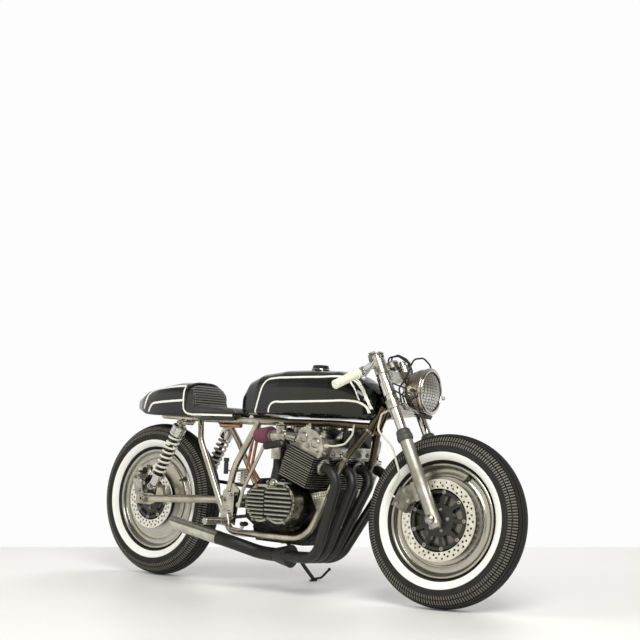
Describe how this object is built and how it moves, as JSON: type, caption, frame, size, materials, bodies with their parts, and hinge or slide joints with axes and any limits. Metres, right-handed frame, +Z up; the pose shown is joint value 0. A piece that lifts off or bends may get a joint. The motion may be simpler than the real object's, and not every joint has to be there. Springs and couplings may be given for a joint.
{
  "type": "cafe racer motorcycle",
  "caption": "Cafe racer motorcycle with an air-cooled inline engine in a tube cradle, whitewall tyres on dished disc wheels, low bars and a humped seat, parked on its side stand.",
  "frame": {"origin": "on the ground, at the middle of the parked machine's outline", "axes": "+X forward, +Y to the rider's left, +Z up"},
  "size_m": [2.1603, 0.6441, 0.962],
  "materials": {
    "champagne_nickel": "satin nickel plating",
    "bare_alloy": "spun and brushed",
    "polished_alloy": "polished",
    "chrome_trim": "bright chrome",
    "dark_engine": "black heat paint",
    "case_grey": "cast, dark",
    "black_exhaust": "satin black",
    "tank_black": "gloss black with a green cast",
    "black_leather": "tuck and roll",
    "tyre_black": "whitewall",
    "black_rubber": "matt",
    "pale_rubber": "matt",
    "maroon_filter": "oiled gauze",
    "copper": "copper plated",
    "lens_glass": "fluted",
    "black_plastic": "gloss",
    "red_lens": "translucent red",
    "steel": "machined",
    "dark_steel": "oiled",
    "stand_black": "black"
  },
  "bodies": {
    "chassis": {"frame": "champagne_nickel", "rear_struts": "champagne_nickel", "swingarm": "champagne_nickel", "rear_axle": "steel", "engine_cases": "case_grey", "cylinder_block": "dark_engine", "cylinder_head": "dark_engine", "upper_head": "polished_alloy", "clutch_cover": "polished_alloy", "alternator_cover": "polished_alloy", "sprocket_cover": "polished_alloy", "carburettors": "bare_alloy", "air_filters": "maroon_filter", "exhaust_headers": "black_exhaust", "exhaust_tip": "chrome_trim", "tank": "tank_black", "filler_cap": "black_plastic", "seat": "black_leather", "tail_cowl": "tank_black", "tail_lamp": "red_lens", "shocks": "chrome_trim", "springs": "chrome_trim", "kick_starter": "steel", "foot_controls": "polished_alloy", "copper_lines": "copper", "copper_bar": "copper", "coil_box": "black_plastic", "plug_lead": "pale_rubber", "rectifier": "bare_alloy", "rubber_duct": "black_rubber", "mesh_plate": "bare_alloy", "drive_chain": "dark_steel", "rear_caliper": "case_grey"},
    "steering": {"fork_clamps": "polished_alloy", "fork_tubes": "chrome_trim", "fork_legs": "bare_alloy", "fork_seals": "black_rubber", "front_axle": "steel", "front_caliper": "case_grey", "brake_hose": "pale_rubber", "lamp_bracket": "stand_black", "control_cables": "black_rubber", "headlight_shell": "champagne_nickel", "headlight_lens": "lens_glass", "headlight_ears": "champagne_nickel", "clip_ons": "polished_alloy", "grips": "pale_rubber", "levers": "polished_alloy", "instruments": "black_plastic"},
    "front_wheel": {"front_tyre": "tyre_black", "front_wheel": "bare_alloy", "front_rotor": "steel"},
    "rear_wheel": {"rear_tyre": "tyre_black", "rear_wheel": "bare_alloy", "rear_rotor": "steel", "rear_sprocket": "dark_steel"},
    "stand": {"side_stand": "stand_black"}
  },
  "joints": [
    {"name": "steering", "type": "hinge", "parent": "chassis", "child": "steering", "pos_m": [0.46687, -0.01105, 0.79117], "axis": [-0.4462, 0.0702, 0.8922], "range_deg": [-33, 17]},
    {"name": "front_wheel_spin", "type": "hinge", "parent": "steering", "child": "front_wheel", "pos_m": [0.75436, -0.04065, 0.32642], "axis": [-0.1246, 0.9823, -0.1396], "continuous": true},
    {"name": "rear_wheel_spin", "type": "hinge", "parent": "chassis", "child": "rear_wheel", "pos_m": [-0.7522, -0.04757, 0.32718], "axis": [0, 0.9969, -0.0785], "continuous": true},
    {"name": "side_stand_fold", "type": "hinge", "parent": "chassis", "child": "stand", "pos_m": [-0.1622, 0.08915, 0.17799], "axis": [-0.26, 0.9632, 0.0676], "range_deg": [0, 105]}
  ]
}
